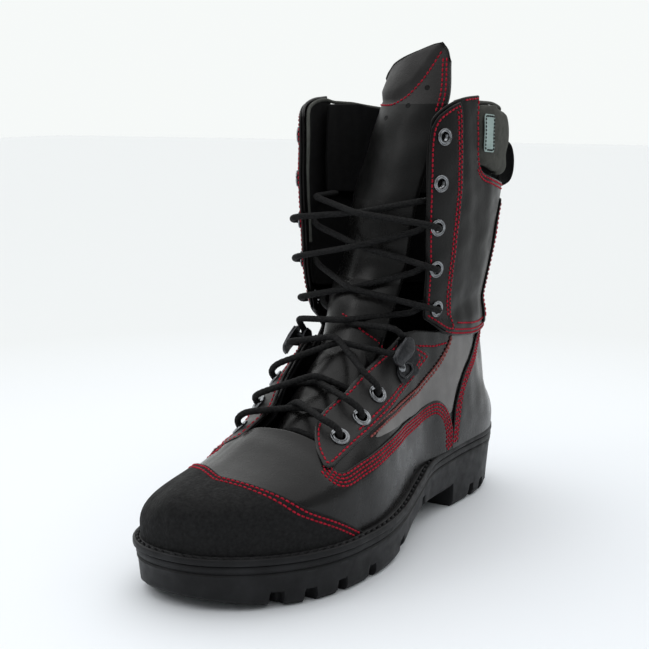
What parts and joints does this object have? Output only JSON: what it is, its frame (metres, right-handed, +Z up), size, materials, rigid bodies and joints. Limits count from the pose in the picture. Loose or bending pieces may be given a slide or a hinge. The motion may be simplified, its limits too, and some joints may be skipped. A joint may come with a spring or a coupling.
{
  "type": "firefighter's lace-up boot",
  "caption": "High lace-up firefighter's leather boot, left foot, with lugged sole, toe guard, red stitching, padded collar and long tongue.",
  "frame": {"origin": "middle of the footprint's bounding box, on the ground", "axes": "+Z up, -Y towards the toe, +Y towards the heel, +X towards the outer (lateral) side of the left foot"},
  "size_m": [0.1238, 0.3186, 0.299],
  "materials": {
    "black_leather": "semi-gloss black grain leather",
    "lining_textile": "dark grey textile lining",
    "toe_rubber": "matt rough-textured rubber",
    "sole_rubber": "satin moulded rubber",
    "steel": "plain steel",
    "eyelet_metal": "dark gunmetal plate",
    "fibre_board": "pressed fibre board",
    "stiffener_plastic": "thermoplastic sheet",
    "footbed_foam": "felt-topped foam",
    "collar_textile": "grey-olive padded textile",
    "label_fabric": "pale grey-green woven patch",
    "webbing": "black webbing",
    "lace_cord": "round braided black cord"
  },
  "bodies": {
    "foot": {"outsole": "sole_rubber", "welt": "sole_rubber", "shank": "steel", "insole_board": "fibre_board", "puncture_plate": "steel", "safety_toe_cap": "steel", "toe_guard": "toe_rubber", "vamp": "black_leather", "foot_lining": "lining_textile", "heel_stiffener": "stiffener_plastic", "heel_counter": "black_leather", "lateral_quarter": "black_leather", "medial_quarter": "black_leather", "lateral_lower_facing": "black_leather", "medial_lower_facing": "black_leather", "tongue_lower": "black_leather", "lateral_lower_eyelet_1": "eyelet_metal", "lateral_lower_eyelet_2": "eyelet_metal", "lateral_lower_eyelet_3": "eyelet_metal", "medial_lower_eyelet_1": "eyelet_metal", "medial_lower_eyelet_2": "eyelet_metal", "medial_lower_eyelet_3": "eyelet_metal", "lateral_lace_hook": "eyelet_metal", "medial_lace_hook": "eyelet_metal", "lateral_hook_rivet": "eyelet_metal", "medial_hook_rivet": "eyelet_metal", "lace": "lace_cord"},
    "shaft": {"lateral_shaft_panel": "black_leather", "medial_shaft_panel": "black_leather", "lateral_upper_facing": "black_leather", "medial_upper_facing": "black_leather", "back_strip": "black_leather", "shaft_lining": "lining_textile", "collar_pad": "collar_textile", "collar_label": "label_fabric", "tongue_middle": "black_leather", "lateral_upper_eyelet_1": "eyelet_metal", "lateral_upper_eyelet_2": "eyelet_metal", "lateral_upper_eyelet_3": "eyelet_metal", "lateral_upper_eyelet_4": "eyelet_metal", "lateral_upper_eyelet_5": "eyelet_metal", "medial_upper_eyelet_1": "eyelet_metal", "medial_upper_eyelet_2": "eyelet_metal", "medial_upper_eyelet_3": "eyelet_metal", "medial_upper_eyelet_4": "eyelet_metal", "medial_upper_eyelet_5": "eyelet_metal"},
    "tongue": {"tongue_top": "black_leather", "tongue_pad": "black_leather"},
    "pull_loop": {"pull_loop": "webbing"},
    "footbed": {"footbed": "footbed_foam"}
  },
  "joints": [
    {"name": "ankle_flex", "type": "hinge", "parent": "foot", "child": "shaft", "pos_m": [0.00467, 0.0847, 0.112], "axis": [1, 0, 0], "range_deg": [-5, 8], "stiffness_Nm_per_rad": 6, "deforming": ["lace"]},
    {"name": "tongue_fold", "type": "hinge", "parent": "shaft", "child": "tongue", "pos_m": [0.00467, 0.0247, 0.2155], "axis": [1, 0, 0], "range_deg": [0, 45], "stiffness_Nm_per_rad": 0.6},
    {"name": "pull_loop_swing", "type": "hinge", "parent": "shaft", "child": "pull_loop", "pos_m": [0.02977, 0.14516, 0.238], "axis": [0.866, -0.5, 0], "range_deg": [0, 80]},
    {"name": "footbed_lift", "type": "hinge", "parent": "foot", "child": "footbed", "pos_m": [0.00467, -0.1423, 0.031], "axis": [1, 0, 0], "range_deg": [0, 7]}
  ]
}
